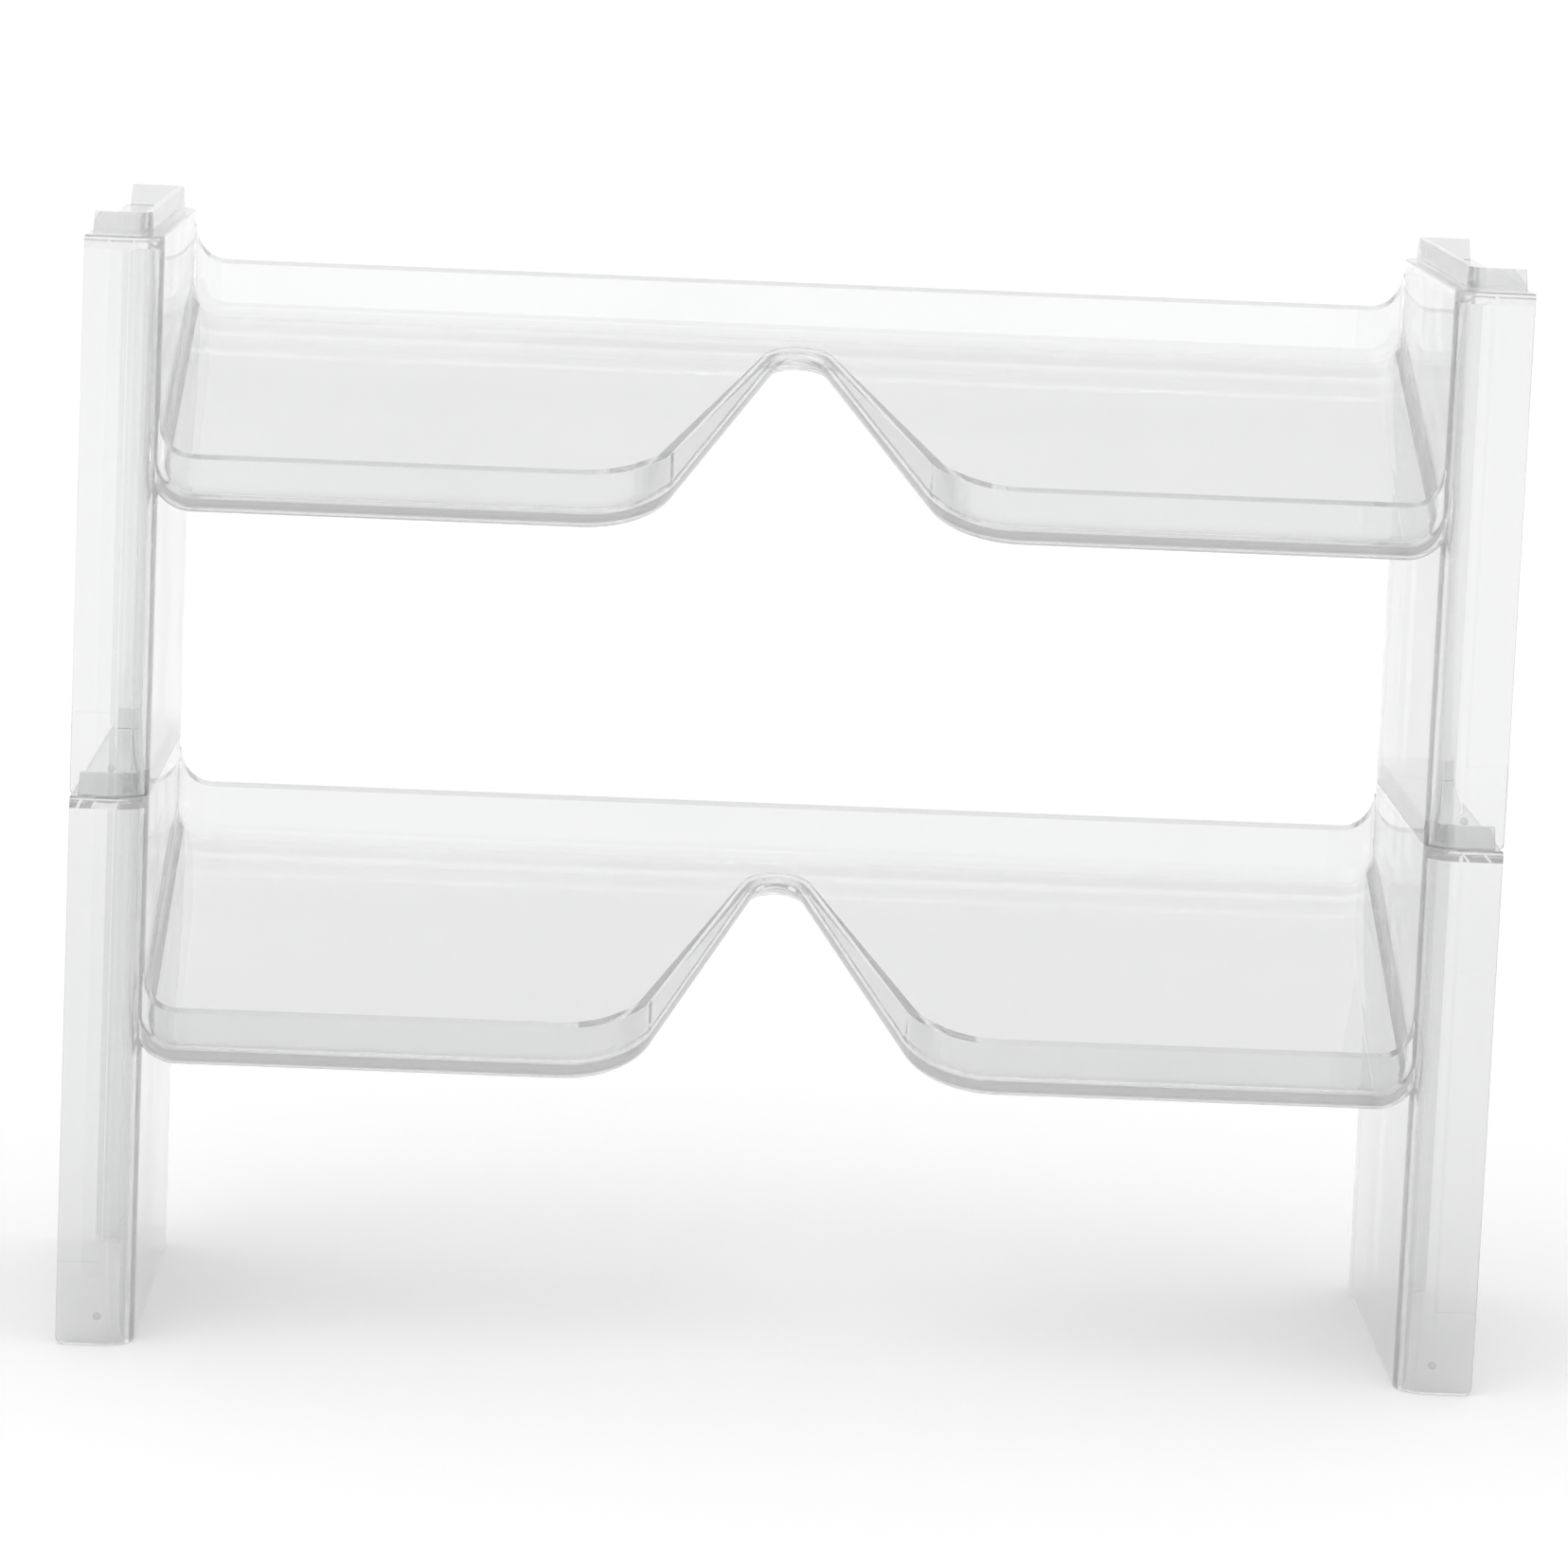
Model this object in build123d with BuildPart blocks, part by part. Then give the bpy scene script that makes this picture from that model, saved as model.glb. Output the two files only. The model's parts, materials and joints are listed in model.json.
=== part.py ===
from build123d import *
import os
from math import cos, radians, sin, tan

# Eyeglasses display stand: two identical clear mouldings that stack.
# Frame: millimetres, +Z up, +X to the right, +Y towards the back.
# Origin: centre of the footprint, on the surface that the lower tier stands on.

# ---- overall sizes of one tier ----
overall_width = 175.0
leg_depth = 60.8
shoulder_height = 68.2

# ---- legs: channels open to the outer side and at the foot ----
leg_width = 9.4
leg_wall = 1.2
leg_corner_radius = 4.0
top_plate_thickness = 1.6
shoulder_edge_round = 0.25
foot_corner_round = 1.0

# ---- shallow step that the side core leaves on the inside of each leg's front wall ----
core_step_depth = 0.12
core_step_width = 5.0
core_step_bottom = 10.2
core_step_drop = 15.6
core_step_rise = 0.7

# ---- tongues: they plug into the channels of the tier above ----
tongue_height = 2.8
tongue_wall = 1.2
tongue_end_inset = 0.9
tongue_draft = 4.0
seat_clearance = 0.15

# ---- tray: a shallow pan that slopes down to the front ----
tray_slope = 19.6
tray_setback = 1.9
rear_rim_drop = 6.4
floor_thickness = 1.4
lip_height = 7.45
lip_thickness = 1.3
end_fillet_radius = 4.2
outer_bend_radius = 2.0
inner_bend_radius = 1.4

# ---- nose notch in the front of the tray ----
notch_depth = 45.8
notch_half_angle = 19.3
notch_apex_radius = 3.4
notch_mouth_radius = 12.0
notch_lip_height = 4.2
notch_rim_setback = 3.9

# ---- derived places ----
leg_outer_x = overall_width / 2
leg_inner_x = leg_outer_x - leg_width
leg_front_y = -leg_depth / 2
tray_front_y = leg_front_y + tray_setback
tray_rear_y = leg_depth / 2 - tray_setback
tray_flat_x = leg_inner_x - end_fillet_radius
tray_end_x = leg_inner_x + leg_wall / 2
tool_reach = 2 * leg_depth
core_step_top = shoulder_height - core_step_drop

# ---- the slope, as a plane square to it at the front of the tray's underside ----
slope_cos = cos(radians(tray_slope))
slope_rise = tan(radians(tray_slope))
rear_rim_height = shoulder_height - rear_rim_drop
tray_underside_height = rear_rim_height - lip_height - (tray_rear_y - tray_front_y) * slope_rise
slope_plane = Plane(
    origin=(0, tray_front_y, tray_underside_height),
    x_dir=(-1, 0, 0),
    z_dir=(0, slope_cos, sin(radians(tray_slope))),
)
rim_offset = lip_height * slope_cos

# ---- round the notch the lip ends at a line that rises less than the tray does ----
notch_apex_y = tray_front_y + notch_depth
notch_rim_start = (
    tray_front_y + notch_rim_setback,
    tray_underside_height + lip_height + notch_rim_setback * slope_rise,
)
notch_rim_end = (
    notch_apex_y + 2 * lip_thickness,
    tray_underside_height + notch_depth * slope_rise + notch_lip_height,
)
notch_rim_above = (notch_rim_end[0], notch_rim_end[1] + lip_height)


def rounded_slot(bottom, half_width, corner_radius):
    """Outline of the space above a height in the tray's section, its lower corners rounded."""
    with BuildSketch() as slot:
        with Locations((0, bottom)):
            Rectangle(2 * half_width, tool_reach, align=(Align.CENTER, Align.MIN))
        fillet(slot.vertices().group_by(Axis.Y)[0], radius=corner_radius)
    return slot.sketch


def notch_plan(inset):
    """Outline of the nose notch seen from above, a V with a round apex, widened by an inset."""
    apex_radius = notch_apex_radius + inset
    tip_y = notch_apex_y - notch_apex_radius + apex_radius / sin(radians(notch_half_angle))
    foot_y = tray_front_y - leg_depth
    foot_x = (tip_y - foot_y) * tan(radians(notch_half_angle))
    with BuildSketch() as notch:
        with BuildLine():
            Polyline((-foot_x, foot_y), (0, tip_y), (foot_x, foot_y), close=True)
        make_face()
        fillet(notch.vertices().group_by(Axis.Y)[-1], radius=apex_radius)
    return notch.sketch


def tray_plan(half_width, inset):
    """Outline of the tray seen from above, moved inwards by an inset and cut by its notch."""
    front = tray_front_y + inset
    rear = tray_rear_y - inset
    with BuildSketch() as plan:
        with Locations((0, (front + rear) / 2)):
            Rectangle(2 * half_width, rear - front)
        add(notch_plan(inset), mode=Mode.SUBTRACT)
        mouth_corners = plan.vertices().group_by(Axis.Y)[0].sort_by(Axis.X)[1:3]
        fillet(mouth_corners, radius=notch_mouth_radius - inset)
    return plan.sketch


def rounded_pan(plan, section, bend_radius):
    """Pan with a sloping floor and rounded edges, with walls far taller than the tray's."""
    with BuildPart() as pan:
        with BuildSketch(slope_plane):
            add(section)
        extrude(amount=tool_reach, both=True)
        with BuildSketch():
            add(plan)
        extrude(amount=tool_reach, mode=Mode.INTERSECT)
        top = pan.edges().group_by(Axis.Z)[-1]
        upright = pan.edges().filter_by(Axis.Z)
        slanted = pan.edges().filter_by(Axis((0, 0, 0), slope_plane.z_dir))
        corners = upright.filter_by(lambda edge: abs(edge.center().X) > tray_flat_x)
        fillet(pan.edges() - top - upright - slanted + corners, radius=bend_radius)
    return pan.part


def channel_plan(wall, end_x):
    """Outline of a leg seen from above, moved inwards by a wall on its three closed sides."""
    inner_x = leg_inner_x + wall
    with BuildSketch() as channel:
        with Locations(((inner_x + end_x) / 2, 0)):
            Rectangle(end_x - inner_x, leg_depth - 2 * wall)
        fillet(channel.vertices().group_by(Axis.X)[0], radius=leg_corner_radius - wall)
    return channel.sketch


# ---- right leg: channel, top plate, tongue and the side core's step ----
with BuildPart() as right_leg:
    with BuildSketch():
        add(channel_plan(0, leg_outer_x))
    extrude(amount=shoulder_height)
    fillet(right_leg.edges().group_by(Axis.Z)[-1], radius=shoulder_edge_round)
    with BuildSketch():
        add(channel_plan(leg_wall, leg_outer_x + leg_width))
    extrude(amount=shoulder_height - top_plate_thickness, mode=Mode.SUBTRACT)
    wall_feet = right_leg.edges().filter_by(Axis.Y).group_by(Axis.Z)[0]
    fillet(wall_feet.group_by(Axis.X)[-1], radius=foot_corner_round)
    with BuildSketch(Plane.XY.offset(shoulder_height)):
        add(channel_plan(leg_wall + seat_clearance, leg_outer_x - tongue_end_inset))
        add(channel_plan(leg_wall + seat_clearance + tongue_wall, leg_outer_x), mode=Mode.SUBTRACT)
    extrude(amount=tongue_height, taper=tongue_draft)
    core_step_x = leg_outer_x - core_step_width
    core_step_crown = (leg_outer_x - core_step_width / 2, core_step_top + core_step_rise)
    with BuildSketch(Plane.XZ.offset(leg_depth / 2 - leg_wall)):
        with BuildLine():
            ThreePointArc((core_step_x, core_step_top), core_step_crown, (leg_outer_x, core_step_top))
            Line((leg_outer_x, core_step_top), (leg_outer_x, core_step_bottom))
            Line((leg_outer_x, core_step_bottom), (core_step_x, core_step_bottom))
            Line((core_step_x, core_step_bottom), (core_step_x, core_step_top))
        make_face()
    extrude(amount=core_step_depth, mode=Mode.SUBTRACT)

# ---- tray: floor, lips and notch, with its ends reaching into the walls of the legs ----
outer_end_x = leg_inner_x + floor_thickness
tray_outside = rounded_pan(
    tray_plan(outer_end_x, 0),
    rounded_slot(0, outer_end_x, end_fillet_radius + floor_thickness),
    outer_bend_radius,
)
tray_inside = rounded_pan(
    tray_plan(leg_inner_x, lip_thickness),
    rounded_slot(floor_thickness, leg_inner_x, end_fillet_radius),
    inner_bend_radius,
)
with BuildPart() as tray:
    add(tray_outside)
    with BuildSketch(slope_plane):
        Rectangle(2 * tray_end_x, 2 * (rim_offset + end_fillet_radius))
        add(rounded_slot(rim_offset, leg_inner_x, end_fillet_radius), mode=Mode.SUBTRACT)
    extrude(amount=tool_reach, both=True, mode=Mode.INTERSECT)
    with BuildSketch(Plane.YZ):
        with BuildLine():
            Polyline(notch_rim_start, notch_rim_end, notch_rim_above, close=True)
        make_face()
    extrude(amount=tray_flat_x / 2, both=True, mode=Mode.SUBTRACT)
    add(tray_inside, mode=Mode.SUBTRACT)

# ---- lower tier: one moulding, with a leg at each end of the tray ----
with BuildPart() as lower_tier:
    add(right_leg.part)
    mirror(right_leg.part, about=Plane.YZ)
    add(tray.part)

# ---- upper tier: the same moulding, with its feet on the lower tier's shoulders ----
with BuildPart() as upper_tier:
    with Locations((0, 0, shoulder_height)):
        add(lower_tier.part)

os.makedirs("parts", exist_ok=True)
lower_tier.part.label = "lower_tier"
export_step(lower_tier.part, "parts/lower_tier.step")
upper_tier.part.label = "upper_tier"
export_step(upper_tier.part, "parts/upper_tier.step")
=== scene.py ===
"""Looks of a stackable clear eyeglasses display stand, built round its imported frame.

Two identical injection mouldings stand on each other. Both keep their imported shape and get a
clear polystyrene finish; the raised rings left by the mould's ejector pins are added to each leg.
"""

from __future__ import annotations

import json
import logging
import math
from dataclasses import dataclass
from enum import Enum

import bpy
from mathutils import Euler, Matrix, Vector

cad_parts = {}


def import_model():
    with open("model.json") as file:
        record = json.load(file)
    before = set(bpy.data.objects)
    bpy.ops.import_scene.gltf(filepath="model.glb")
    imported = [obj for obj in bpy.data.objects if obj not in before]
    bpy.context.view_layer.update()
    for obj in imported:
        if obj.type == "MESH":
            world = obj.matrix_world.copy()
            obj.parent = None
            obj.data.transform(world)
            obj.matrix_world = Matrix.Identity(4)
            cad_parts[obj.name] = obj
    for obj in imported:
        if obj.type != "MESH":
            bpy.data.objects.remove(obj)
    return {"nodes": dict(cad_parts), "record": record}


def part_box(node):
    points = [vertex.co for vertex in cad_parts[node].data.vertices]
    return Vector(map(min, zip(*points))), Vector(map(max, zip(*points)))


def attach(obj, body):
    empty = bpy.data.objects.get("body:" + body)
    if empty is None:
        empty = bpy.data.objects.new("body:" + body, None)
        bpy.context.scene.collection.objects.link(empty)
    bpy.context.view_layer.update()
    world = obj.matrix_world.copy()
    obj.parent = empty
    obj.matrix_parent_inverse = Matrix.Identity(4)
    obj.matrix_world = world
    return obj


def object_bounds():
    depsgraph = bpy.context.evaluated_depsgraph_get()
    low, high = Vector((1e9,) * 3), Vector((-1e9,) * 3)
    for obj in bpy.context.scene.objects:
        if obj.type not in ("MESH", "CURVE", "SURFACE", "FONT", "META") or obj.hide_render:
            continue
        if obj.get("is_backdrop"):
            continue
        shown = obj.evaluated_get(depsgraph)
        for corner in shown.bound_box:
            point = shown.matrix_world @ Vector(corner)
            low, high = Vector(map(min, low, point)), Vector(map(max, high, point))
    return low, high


LOG = logging.getLogger("display_stand")
MM = 0.001
FACING = 0.99


class Side(Enum):
    """The end of a tray that a leg stands at; the value is the sign of its X."""

    LEFT = -1
    RIGHT = 1


class Maths(Enum):
    """Shader sums that an expression on sockets can add."""

    ADD = "ADD"
    MULTIPLY = "MULTIPLY"


class Value:
    """A shader socket that can be used in a Python expression.

    Args:
        tree: The graph that the socket belongs to.
        socket: The output socket that holds the value.
    """

    def __init__(self, tree: Graph, socket: bpy.types.NodeSocket) -> None:
        """Keeps the graph and the socket."""
        self.tree = tree
        self.socket = socket

    def _sum(self, kind: Maths, left: Value | float, right: Value | float) -> Value:
        """Adds one Math node.

        Args:
            kind: The sum to make.
            left: The first term.
            right: The second term.

        Returns:
            The result as a value.
        """
        return self.tree.node("ShaderNodeMath", {"operation": kind.value}, {0: left, 1: right})

    def __add__(self, other: Value | float) -> Value:
        """Returns self + other."""
        return self._sum(Maths.ADD, self, other)

    def __radd__(self, other: float) -> Value:
        """Returns other + self."""
        return self._sum(Maths.ADD, other, self)

    def __mul__(self, other: Value | float) -> Value:
        """Returns self * other."""
        return self._sum(Maths.MULTIPLY, self, other)

    def __rmul__(self, other: float) -> Value:
        """Returns other * self."""
        return self._sum(Maths.MULTIPLY, other, self)


class Graph:
    """A node graph that is filled through one node-making method.

    Args:
        node_tree: The empty node tree of a material or world.
    """

    def __init__(self, node_tree: bpy.types.NodeTree) -> None:
        """Clears the tree and keeps it."""
        self.node_tree = node_tree
        node_tree.nodes.clear()

    def node(self, kind: str, settings: dict, inputs: dict, output: int | str = 0) -> Value:
        """Adds a node, sets it up and fills its sockets.

        Args:
            kind: The node's type.
            settings: Its properties; the key "stops" sets a colour ramp's stops.
            inputs: A number, colour or value for each socket, by name or place.
            output: The socket that the returned value reads.

        Returns:
            The chosen output as a value; its socket is None if the node has no outputs.
        """
        made = self.node_tree.nodes.new(kind)
        for name, setting in settings.items():
            if name == "stops":
                ramp = made.color_ramp
                for element, (place, grey) in zip(ramp.elements, setting):
                    element.position = place
                    element.color = (grey, grey, grey, 1.0)
            else:
                setattr(made, name, setting)
        for name, given in inputs.items():
            if isinstance(given, Value):
                self.node_tree.links.new(given.socket, made.inputs[name])
            else:
                made.inputs[name].default_value = given
        return Value(self, made.outputs[output] if made.outputs else None)


@dataclass(frozen=True)
class ClearPolystyrene:
    """Clear, colourless, glossy moulded polystyrene.

    Its polish is even but not perfect: the melt leaves a very slight ripple, and handling leaves
    a faint haze with fine rubs along the tray. The legs get painted shade: their colour is made a
    little greyer than the tray's. leg_start is the distance from the stand's middle to the middle
    of a leg's inner wall; the painted leg shade is full from there outwards.
    """

    leg_start: float
    name: str = "clear_polystyrene"
    tint: tuple[float, float, float] = (0.85, 0.853, 0.855)
    haze_tint: tuple[float, float, float] = (0.82, 0.823, 0.826)
    leg_painted_shade: tuple[float, float, float] = (0.775, 0.778, 0.78)
    leg_blend: float = 0.6 * MM
    cover: float = 0.87
    refraction: float = 1.59
    polish: float = 0.012
    haze: float = 0.05
    cloud_scale: float = 34.0
    cloud_detail: float = 3.0
    cloud_edges: tuple[float, float] = (0.45, 0.75)
    cloud_share: float = 0.6
    rub_scale: float = 260.0
    rub_detail: float = 5.0
    rub_edges: tuple[float, float] = (0.58, 0.78)
    rub_share: float = 0.4
    rub_stretch: tuple[float, float, float] = (0.25, 1.0, 1.0)
    ripple_scale: float = 70.0
    ripple_detail: float = 1.0
    ripple_height: float = 0.02 * MM
    ripple_strength: float = 0.6

    def step(self, graph: Graph, pattern: Value, edges: tuple[float, float]) -> Value:
        """Turns a smooth pattern into patches with soft edges.

        Args:
            graph: The graph to add to.
            pattern: The smooth pattern.
            edges: The pattern's values where a patch starts and where it is full.

        Returns:
            The patches, from 0 to 1.
        """
        stops = ((edges[0], 0.0), (edges[1], 1.0))
        return graph.node("ShaderNodeValToRGB", {"stops": stops}, {"Fac": pattern})

    def make(self) -> bpy.types.Material:
        """Builds the material.

        Returns:
            The finished material.
        """
        material = bpy.data.materials.new(self.name)
        material.use_nodes = True
        graph = Graph(material.node_tree)
        place = graph.node("ShaderNodeTexCoord", {}, {}, "Object")
        along = graph.node("ShaderNodeMapping", {}, {"Vector": place, "Scale": self.rub_stretch})
        cloud = graph.node(
            "ShaderNodeTexNoise",
            {},
            {"Vector": place, "Scale": self.cloud_scale, "Detail": self.cloud_detail},
        )
        rubs = graph.node(
            "ShaderNodeTexNoise",
            {},
            {"Vector": along, "Scale": self.rub_scale, "Detail": self.rub_detail},
        )
        ripple = graph.node(
            "ShaderNodeTexNoise",
            {},
            {"Vector": along, "Scale": self.ripple_scale, "Detail": self.ripple_detail},
        )
        patches = self.step(graph, cloud, self.cloud_edges)
        rubbed = self.step(graph, rubs, self.rub_edges)
        marks = patches * self.cloud_share + rubbed * patches * self.rub_share
        roughness = self.polish + marks * self.haze
        colour = graph.node(
            "ShaderNodeMix",
            {"data_type": "RGBA"},
            {0: marks, 6: (*self.tint, 1.0), 7: (*self.haze_tint, 1.0)},
            2,
        )
        # Painted shade: from leg_start outwards the colour turns greyer, so the legs look darker
        # than the tray.
        across = graph.node("ShaderNodeSeparateXYZ", {}, {"Vector": place}, "X")
        outwards = graph.node("ShaderNodeMath", {"operation": "ABSOLUTE"}, {0: across})
        leg_shade_share = graph.node(
            "ShaderNodeMapRange",
            {},
            {
                "Value": outwards,
                "From Min": self.leg_start - self.leg_blend,
                "From Max": self.leg_start,
                "To Min": 0.0,
                "To Max": 1.0,
            },
        )
        colour = graph.node(
            "ShaderNodeMix",
            {"data_type": "RGBA"},
            {0: leg_shade_share, 6: colour, 7: (*self.leg_painted_shade, 1.0)},
            2,
        )
        normal = graph.node(
            "ShaderNodeBump",
            {},
            {"Strength": self.ripple_strength, "Distance": self.ripple_height, "Height": ripple},
        )
        shader = graph.node(
            "ShaderNodeBsdfPrincipled",
            {},
            {
                "Base Color": colour,
                "Roughness": roughness,
                "IOR": self.refraction,
                "Transmission Weight": 1.0,
                "Alpha": self.cover,
                "Normal": normal,
            },
        )
        graph.node("ShaderNodeOutputMaterial", {}, {"Surface": shader})
        return material


@dataclass(frozen=True)
class StudioPaper:
    """Matt white paper for the floor and backdrop, with a painted glow: the paper emits light
    itself, most of all in a pool in front.
    """

    name: str = "studio_paper"
    white: float = 0.93
    glow: float = 0.15
    front_glow: float = 1.1
    pool_front: float = -0.6
    pool_back: float = -0.36
    roughness: float = 0.9
    gloss: float = 0.1
    grain_scale: float = 900.0
    grain_height: float = 0.1 * MM
    grain_strength: float = 0.05

    def make(self) -> bpy.types.Material:
        """Builds the material.

        Returns:
            The finished material.
        """
        material = bpy.data.materials.new(self.name)
        material.use_nodes = True
        graph = Graph(material.node_tree)
        place = graph.node("ShaderNodeTexCoord", {}, {}, "Object")
        grain = graph.node("ShaderNodeTexNoise", {}, {"Vector": place, "Scale": self.grain_scale})
        normal = graph.node(
            "ShaderNodeBump",
            {},
            {"Strength": self.grain_strength, "Distance": self.grain_height, "Height": grain},
        )
        # Painted light: the paper glows though no lamp is there, faintly at the back and strongly
        # in a pool at the front.
        depth = graph.node("ShaderNodeSeparateXYZ", {}, {"Vector": place}, "Y")
        painted_light_pool = graph.node(
            "ShaderNodeMapRange",
            {"interpolation_type": "SMOOTHSTEP"},
            {
                "Value": depth,
                "From Min": self.pool_front,
                "From Max": self.pool_back,
                "To Min": 1.0,
                "To Max": self.glow / self.front_glow,
            },
        )
        shader = graph.node(
            "ShaderNodeBsdfPrincipled",
            {},
            {
                "Base Color": (self.white, self.white, self.white, 1.0),
                "Roughness": self.roughness,
                "Specular IOR Level": self.gloss,
                "Emission Color": painted_light_pool,
                "Emission Strength": self.front_glow,
                "Normal": normal,
            },
        )
        graph.node("ShaderNodeOutputMaterial", {}, {"Surface": shader})
        return material


def deselect_all() -> None:
    """Leaves nothing selected, so that the next operator acts on new geometry only."""
    if bpy.context.object is not None and bpy.context.object.mode != "OBJECT":
        bpy.ops.object.mode_set(mode="OBJECT")
    bpy.ops.object.select_all(action="DESELECT")


def select_faces(piece: bpy.types.Object, facing: Vector) -> None:
    """Selects the faces of a piece that look one way, and goes into edit mode.

    Args:
        piece: The active mesh object.
        facing: The direction that the wanted faces look in.
    """
    bpy.ops.object.mode_set(mode="EDIT")
    bpy.ops.mesh.select_mode(type="FACE")
    bpy.ops.mesh.select_all(action="DESELECT")
    bpy.ops.object.mode_set(mode="OBJECT")
    for face in piece.data.polygons:
        face.select = face.normal.dot(facing) > FACING
    bpy.ops.object.mode_set(mode="EDIT")


@dataclass
class EjectorMarks:
    """Raised rings that the ejector pins leave on the inside of a tier's front leg walls."""

    body: str
    finish: bpy.types.Material
    wall: float = 1.2 * MM
    wall_gap: float = 0.01 * MM
    radius: float = 0.5 * MM
    rim: float = 0.16 * MM
    height: float = 0.09 * MM
    dish: float = 0.05 * MM
    slope_share: float = 0.25
    edge_round: float = 0.015 * MM
    edge_segments: int = 2
    smooth_angle: float = 40.0
    edge_inset: float = 5.0 * MM
    foot_height: float = 3.4 * MM
    segments: int = 40

    def build_one(self, side: Side) -> bpy.types.Object:
        """Models one ring on the inside of the front wall of a leg.

        Args:
            side: The leg that it is on.

        Returns:
            The ring, with its place in its mesh.
        """
        low, high = (Vector(corner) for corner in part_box(self.body))
        leg_x = high.x if side is Side.RIGHT else low.x
        place = (
            leg_x - side.value * self.edge_inset,
            low.y + self.wall + self.wall_gap + self.height / 2,
            low.z + self.foot_height,
        )
        deselect_all()
        bpy.ops.mesh.primitive_cylinder_add(
            vertices=self.segments, radius=self.radius, depth=self.height, location=place
        )
        ring = bpy.context.object
        ring.rotation_euler = Euler((-math.pi / 2, 0.0, 0.0))
        select_faces(ring, Vector((0, 0, 1)))
        bpy.ops.mesh.inset(thickness=self.rim, depth=0.0)
        bpy.ops.mesh.inset(thickness=self.rim * self.slope_share, depth=-self.dish)
        bpy.ops.object.mode_set(mode="OBJECT")
        bpy.ops.object.transform_apply(location=True, rotation=True, scale=True)
        bevel = ring.modifiers.new("soft_edges", "BEVEL")
        bevel.width = self.edge_round
        bevel.segments = self.edge_segments
        bpy.ops.object.modifier_apply(modifier=bevel.name)
        bpy.ops.object.shade_smooth_by_angle(angle=math.radians(self.smooth_angle))
        return ring

    def build(self) -> bpy.types.Object:
        """Models the rings of both legs as one piece.

        Returns:
            The finished piece.
        """
        rings = [self.build_one(side) for side in Side]
        deselect_all()
        for ring in rings:
            ring.select_set(True)
        bpy.context.view_layer.objects.active = rings[0]
        bpy.ops.object.join()
        marks = bpy.context.object
        marks.name = f"{self.body}_ejector_marks"
        marks.data.materials.clear()
        marks.data.materials.append(self.finish)
        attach(marks, self.body)
        return marks


@dataclass
class Tier:
    """One moulding: a sloping tray with a nose notch between two hollow legs."""

    node: str
    finish: bpy.types.Material

    def dress(self) -> bpy.types.Object:
        """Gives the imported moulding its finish.

        Returns:
            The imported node's object.
        """
        moulding = bpy.data.objects[self.node]
        for slot in moulding.material_slots:
            slot.material = self.finish
        return moulding

    def build(self) -> list[bpy.types.Object]:
        """Dresses the moulding and adds its ejector marks.

        Returns:
            All the tier's objects.
        """
        return [self.dress(), EjectorMarks(self.node, self.finish).build()]


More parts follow.
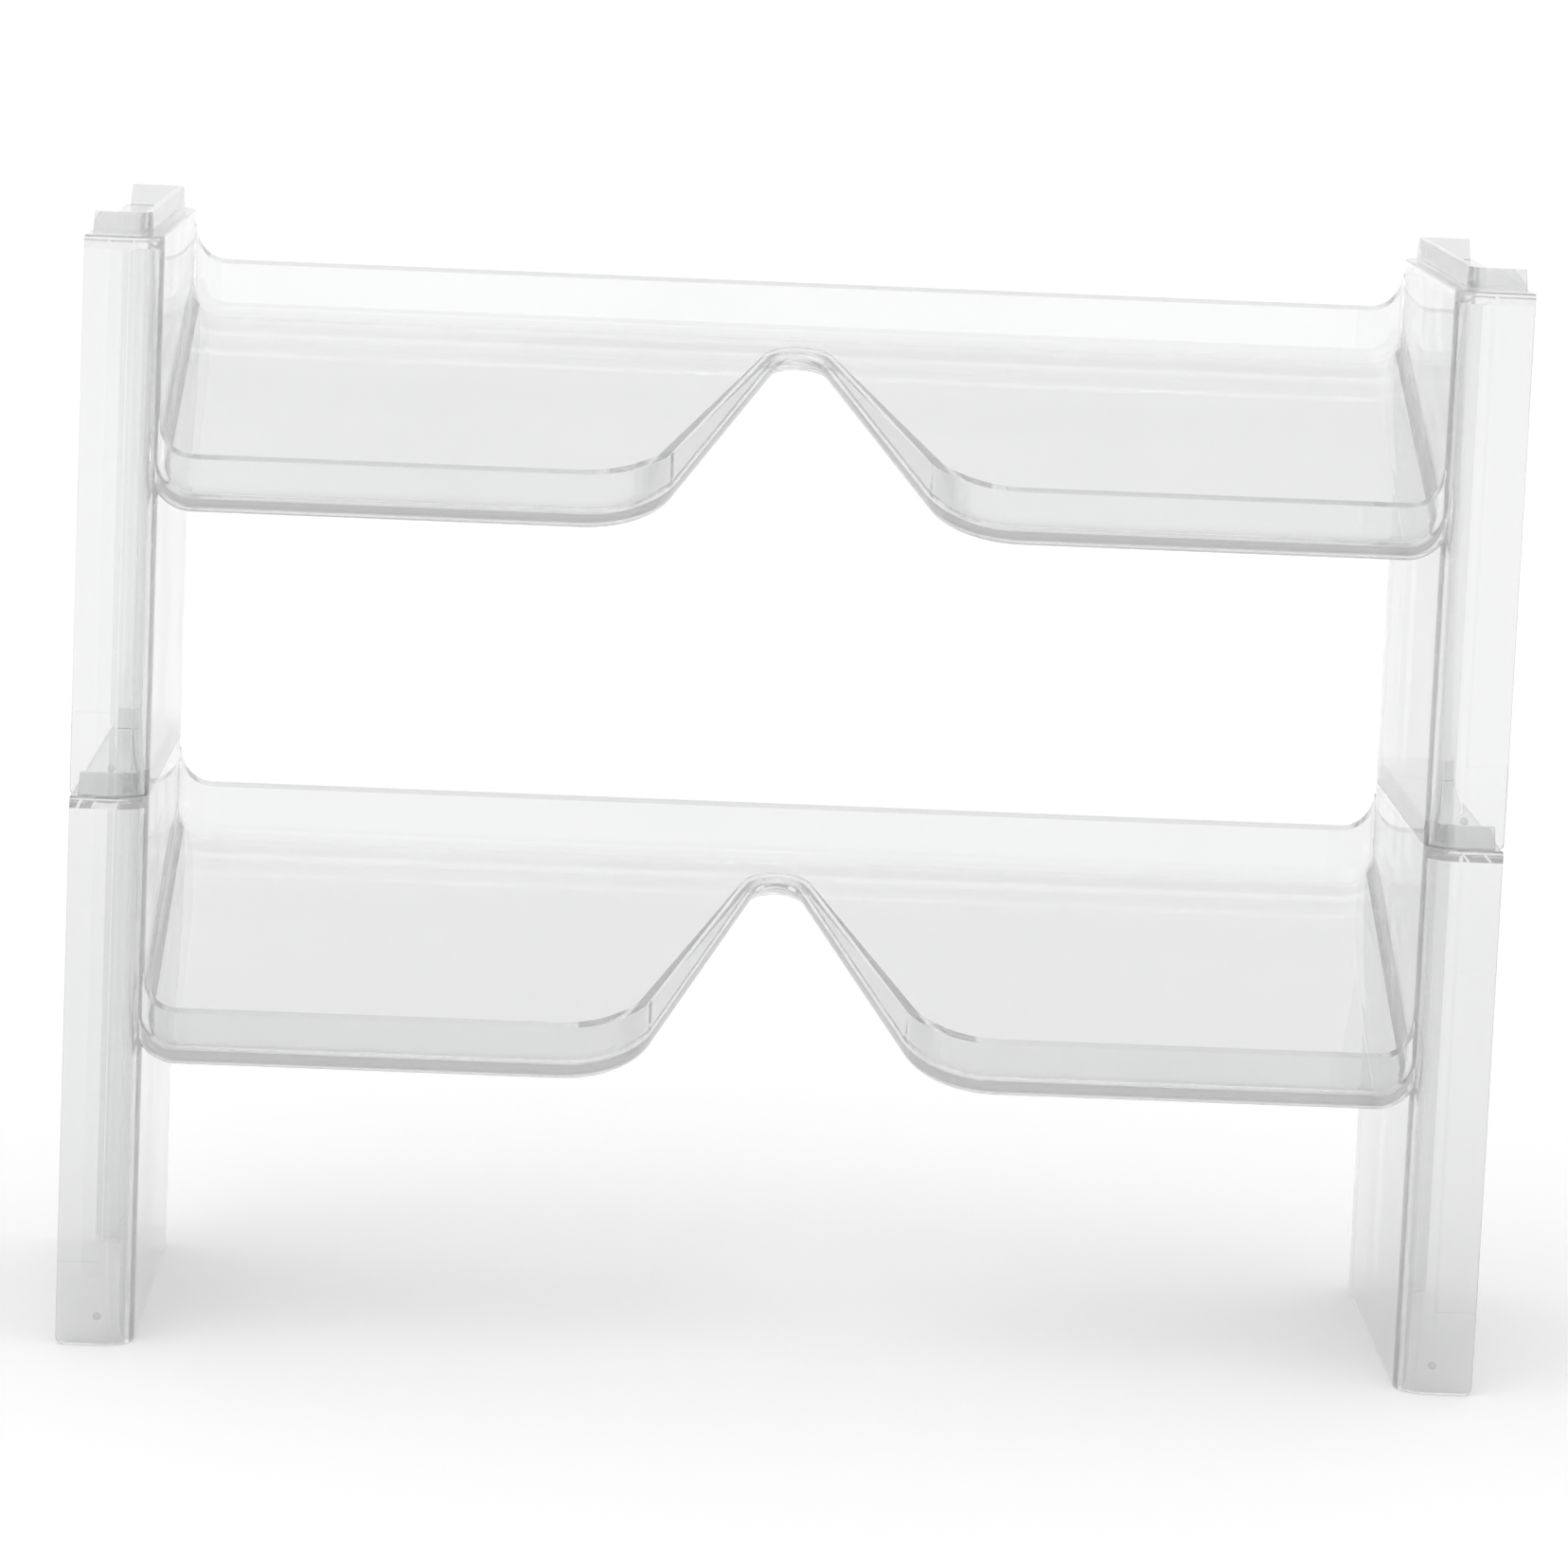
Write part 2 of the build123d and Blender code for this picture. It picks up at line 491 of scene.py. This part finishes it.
@dataclass
class Studio:
    """White sweep, soft light from all round and the camera."""

    paper: StudioPaper
    sweep_half_width: float = 3.0
    sweep_front: float = -2.2
    sweep_back: float = 1.6
    sweep_height: float = 0.95
    sweep_bend: float = 0.6
    sweep_segments: int = 24
    floor_gap: float = 0.0001
    distance: float = 0.83
    azimuth: float = -1.43
    elevation: float = 8.4
    roll: float = 2.45
    lens: float = 150.7
    clip_start: float = 0.05
    aim_drop: float = 0.001
    back_light: float = 0.99
    front_light: float = 1.0
    top_light: float = 0.92
    exposure: float = -0.1
    room_turn: tuple[float, float] = (-0.6, 0.3)
    ceiling_turn: tuple[float, float] = (0.35, 0.8)
    lamp_place: tuple[float, float, float] = (-0.5, -0.9, 1.6)
    lamp_size: float = 1.2
    lamp_power: float = 4.0

    def build_sweep(self) -> bpy.types.Object:
        """Models the floor that curves up into the backdrop.

        Returns:
            The sweep, marked as stage.
        """
        deselect_all()
        bpy.ops.mesh.primitive_plane_add(size=2.0, location=(0.0, 0.0, -self.floor_gap))
        sweep = bpy.context.object
        sweep.name = "studio_sweep"
        sweep.scale = (self.sweep_half_width, (self.sweep_back - self.sweep_front) / 2, 1.0)
        sweep.location.y = (self.sweep_back + self.sweep_front) / 2
        bpy.ops.object.transform_apply(location=True, rotation=True, scale=True)
        for vertex in sweep.data.vertices:
            vertex.select = vertex.co.y > 0
        for edge in sweep.data.edges:
            edge.select = all(sweep.data.vertices[i].co.y > 0 for i in edge.vertices)
        for face in sweep.data.polygons:
            face.select = False
        bpy.ops.object.mode_set(mode="EDIT")
        bpy.ops.mesh.select_mode(type="EDGE")
        bpy.ops.mesh.extrude_region_move(
            TRANSFORM_OT_translate={"value": (0.0, 0.0, self.sweep_height)}
        )
        bpy.ops.object.mode_set(mode="OBJECT")
        bend = sweep.modifiers.new("bend", "BEVEL")
        bend.width = self.sweep_bend
        bend.segments = self.sweep_segments
        bend.limit_method = "ANGLE"
        bpy.ops.object.modifier_apply(modifier=bend.name)
        bpy.ops.object.shade_smooth()
        sweep.data.materials.append(self.paper.make())
        sweep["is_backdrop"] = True
        return sweep

    def light_world(self) -> None:
        """Lights the room evenly from all round, with the ceiling a little dimmer."""
        world = bpy.data.worlds.new("soft_room")
        bpy.context.scene.world = world
        world.use_nodes = True
        graph = Graph(world.node_tree)
        way = graph.node("ShaderNodeTexCoord", {}, {}, "Generated")
        back = graph.node("ShaderNodeSeparateXYZ", {}, {"Vector": way}, "Y")
        up = graph.node("ShaderNodeSeparateXYZ", {}, {"Vector": way}, "Z")
        level = graph.node(
            "ShaderNodeMapRange",
            {"interpolation_type": "SMOOTHSTEP"},
            {
                "Value": back,
                "From Min": self.room_turn[0],
                "From Max": self.room_turn[1],
                "To Min": self.front_light,
                "To Max": self.back_light,
            },
        )
        ceiling = graph.node(
            "ShaderNodeMapRange",
            {"interpolation_type": "SMOOTHSTEP"},
            {
                "Value": up,
                "From Min": self.ceiling_turn[0],
                "From Max": self.ceiling_turn[1],
                "To Min": 1.0,
                "To Max": self.top_light,
            },
        )
        shade = level * ceiling
        light = graph.node("ShaderNodeBackground", {}, {"Color": (1, 1, 1, 1), "Strength": shade})
        graph.node("ShaderNodeOutputWorld", {}, {"Surface": light})

    def add_lamp(self, name: str, place: Vector, aim: Vector, size: float, power: float) -> None:
        """Adds a large soft lamp.

        Args:
            name: The lamp's name.
            place: Where it hangs.
            aim: The point it looks at.
            size: Its side, in metres.
            power: Its power, in watts.
        """
        data = bpy.data.lights.new(name, "AREA")
        data.size = size
        data.energy = power
        lamp = bpy.data.objects.new(name, data)
        lamp.location = place
        lamp.rotation_euler = (aim - place).to_track_quat("-Z", "Y").to_euler()
        bpy.context.scene.collection.objects.link(lamp)

    def place_camera(self, centre: Vector) -> bpy.types.Object:
        """Places the camera in front of the stand, a little above it.

        Args:
            centre: The middle of the stand.

        Returns:
            The camera.
        """
        data = bpy.data.cameras.new("camera")
        data.lens = self.lens
        data.clip_start = self.clip_start
        camera = bpy.data.objects.new("camera", data)
        bpy.context.scene.collection.objects.link(camera)
        azimuth = math.radians(self.azimuth)
        elevation = math.radians(self.elevation)
        away = Vector(
            (
                math.sin(azimuth) * math.cos(elevation),
                -math.cos(azimuth) * math.cos(elevation),
                math.sin(elevation),
            )
        )
        aim = centre - Vector((0, 0, self.aim_drop))
        place = aim + away * self.distance
        turn = (aim - place).to_track_quat("-Z", "Y").to_matrix()
        turn = turn @ Matrix.Rotation(math.radians(self.roll), 3, "Z")
        camera.matrix_world = Matrix.Translation(place) @ turn.to_4x4()
        bpy.context.scene.camera = camera
        return camera

    def build(self, low: Vector, high: Vector) -> None:
        """Builds the whole studio round the stand.

        Args:
            low: The lowest corner of the stand.
            high: The highest corner of the stand.
        """
        centre = (low + high) / 2
        self.build_sweep()
        self.light_world()
        self.add_lamp("top_light", Vector(self.lamp_place), centre, self.lamp_size, self.lamp_power)
        self.place_camera(centre)
        bpy.context.scene.view_settings.view_transform = "Standard"
        bpy.context.scene.view_settings.exposure = self.exposure


def main() -> None:
    """Builds the tiers and the studio."""
    logging.basicConfig(level=logging.INFO, format="%(name)s: %(message)s")
    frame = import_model()
    packed_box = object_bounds()
    feet = next(mount for mount in frame["record"]["mounts"] if mount["name"] == "base")
    finish = ClearPolystyrene(leg_start=abs(feet["pos_m"][0])).make()
    for node in frame["nodes"]:
        for piece in Tier(node, finish).build():
            LOG.info("%s: %d faces", piece.name, len(piece.data.polygons))
    low, high = (Vector(corner) for corner in packed_box)
    Studio(StudioPaper()).build(low, high)
    LOG.info("studio ready")


if __name__ == "__main__":
    main()
